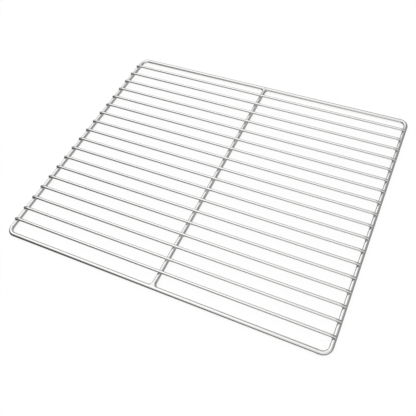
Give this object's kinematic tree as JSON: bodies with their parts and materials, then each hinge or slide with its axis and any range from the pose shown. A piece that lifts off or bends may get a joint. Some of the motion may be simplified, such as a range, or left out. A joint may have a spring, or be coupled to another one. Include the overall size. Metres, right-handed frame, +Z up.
{
  "type": "cooling rack",
  "caption": "Flat rectangular wire cooling rack: a thick round-cornered frame wire with a cross wire inside it, and thinner parallel rods welded over both.",
  "frame": {"origin": "middle of the rack, at the level of the surface it lies on", "axes": "+X along the rods and the long sides, +Y across the rods, +Z up, from the frame wire towards the rods"},
  "size_m": [0.65, 0.53, 0.0149],
  "materials": {
    "frame_steel": "electropolished drawn stainless wire",
    "cross_steel": "electropolished drawn stainless wire",
    "rod_steel": "electropolished drawn stainless wire"
  },
  "bodies": {
    "root": {"frame_wire": "frame_steel", "cross_wire": "cross_steel", "rod_01": "rod_steel", "rod_02": "rod_steel", "rod_03": "rod_steel", "rod_04": "rod_steel", "rod_05": "rod_steel", "rod_06": "rod_steel", "rod_07": "rod_steel", "rod_08": "rod_steel", "rod_09": "rod_steel", "rod_10": "rod_steel", "rod_11": "rod_steel", "rod_12": "rod_steel", "rod_13": "rod_steel", "rod_14": "rod_steel", "rod_15": "rod_steel", "rod_16": "rod_steel", "rod_17": "rod_steel", "rod_18": "rod_steel"}
  },
  "joints": []
}
